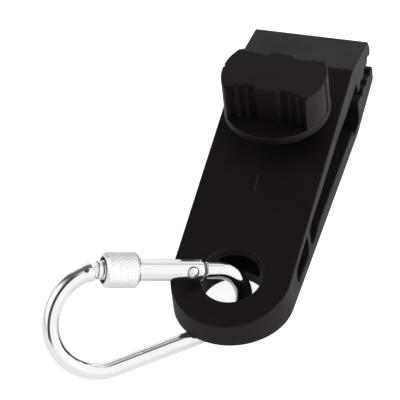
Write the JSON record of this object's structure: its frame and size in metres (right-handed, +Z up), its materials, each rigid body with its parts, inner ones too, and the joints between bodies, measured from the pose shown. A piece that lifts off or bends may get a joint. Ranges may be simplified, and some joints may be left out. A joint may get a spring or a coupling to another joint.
{
  "type": "tarp clip",
  "caption": "Long black jaw clip with a thumb screw that squeezes its toothed jaws shut on a tarp, hung from its round eye on a small screw-lock carabiner.",
  "frame": {"origin": "middle of the bounding box's bottom, on the table that the clip lies on", "axes": "+Y along the clip from its eye towards the jaws, +X across its width, +Z up"},
  "size_m": [0.0542, 0.1144, 0.0357],
  "materials": {
    "black_nylon": "satin, finely grained",
    "polished_aluminium": "polished",
    "knurled_aluminium": "knurled",
    "steel": "plated",
    "brass": "turned"
  },
  "bodies": {
    "body": {"clip_body": "black_nylon", "thread_insert": "brass"},
    "jaw": {"upper_jaw": "black_nylon"},
    "stud": {"clamp_stud": "steel"},
    "knob": {"clamp_knob": "black_nylon"},
    "carabiner": {"carabiner_frame": "polished_aluminium"},
    "gate": {"gate_arm": "polished_aluminium", "gate_rivet": "steel", "gate_spring": "steel"},
    "plunger": {"gate_plunger": "steel"},
    "sleeve": {"lock_sleeve": "knurled_aluminium"}
  },
  "joints": [
    {"name": "stud_travel", "type": "slide", "parent": "body", "child": "stud", "axis": [0, 0.0609, 0.9981], "range_m": [-0.00275, 0]},
    {"name": "knob_turn", "type": "hinge", "parent": "stud", "child": "knob", "pos_m": [0.01214, 0.02284, 0.02301], "axis": [0, 0.0609, 0.9981], "range_deg": [-990, 0]},
    {"name": "jaw_flex", "type": "hinge", "parent": "body", "child": "jaw", "pos_m": [0.01214, -0.00624, 0.01446], "axis": [1, 0, 0], "range_deg": [-3, 0], "stiffness_Nm_per_rad": 0.3},
    {"name": "carabiner_swing", "type": "hinge", "parent": "body", "child": "carabiner", "pos_m": [0.01214, -0.02531, 0.00393], "axis": [0, 0.0609, 0.9981], "range_deg": [-5, 100]},
    {"name": "gate_swing", "type": "hinge", "parent": "carabiner", "child": "gate", "pos_m": [0.00299, -0.02799, 0.01675], "axis": [0.577, -0.6532, 0.4902], "range_deg": [0, 28], "stiffness_Nm_per_rad": 0.012, "springref_deg": -57.3},
    {"name": "plunger_push", "type": "slide", "parent": "gate", "child": "plunger", "axis": [-0.8167, -0.4608, 0.3473], "range_m": [0, 0.00075], "deforming": ["gate_spring"]},
    {"name": "sleeve_travel", "type": "slide", "parent": "gate", "child": "sleeve", "axis": [-0.8167, -0.4608, 0.3473], "range_m": [0, 0.0028]}
  ],
  "couplings": [
    {"joint": "knob_turn", "follows": "stud_travel", "rad_per_m": 6283.2},
    {"joint": "jaw_flex", "follows": "stud_travel", "rad_per_m": 19.03},
    {"joint": "plunger_push", "follows": "gate_swing", "m_per_rad": 0.0015}
  ]
}
